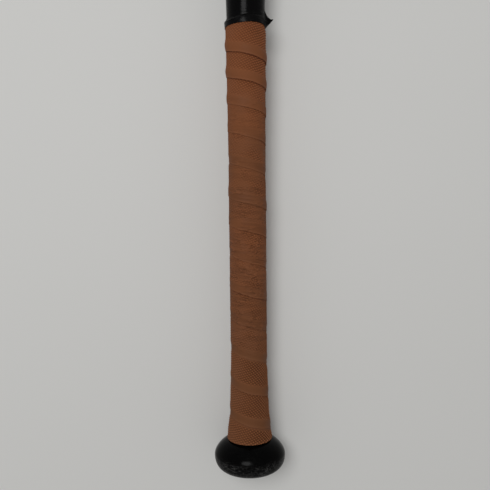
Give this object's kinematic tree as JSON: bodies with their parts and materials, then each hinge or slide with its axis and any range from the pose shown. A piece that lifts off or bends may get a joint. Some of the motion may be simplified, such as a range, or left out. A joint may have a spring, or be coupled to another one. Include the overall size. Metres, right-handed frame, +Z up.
{
  "type": "composite baseball bat",
  "caption": "Two-piece composite baseball bat: round knob, tapered handle with a spirally lapped grip and finishing tape, joint collar, hollow barrel and dished end cap.",
  "frame": {"origin": "on the floor that the bat rests on, midway between its two ends", "axes": "+Y along the bat from the knob to the barrel's end, +Z up; the bat rests on its knob and its barrel, so its own axis rises 0.71 degrees towards +Y"},
  "size_m": [0.0662, 0.8386, 0.0686],
  "materials": {
    "black_gloss": "clear-coated gloss black",
    "black_satin": "moulded satin black",
    "black_tape": "stretched vinyl tape",
    "brown_grip": "knurled matte synthetic leather",
    "grey_rubber": "moulded elastomer",
    "raw_composite": "bare cured laminate",
    "steel": "turned",
    "foam": "rigid foam",
    "amber_glue": "cured glue"
  },
  "bodies": {
    "root": {"knob": "black_gloss", "knob_plug": "black_satin", "weight_holder": "grey_rubber", "balance_weight": "steel", "handle_tube": "black_gloss", "foam_bung": "foam", "joint_sleeve": "grey_rubber", "joint_collar": "black_satin", "barrel_shell": "black_gloss", "barrel_ring": "raw_composite", "end_cap": "black_satin", "cap_bond": "amber_glue", "grip_strip": "brown_grip", "finishing_tape": "black_tape"}
  },
  "joints": []
}
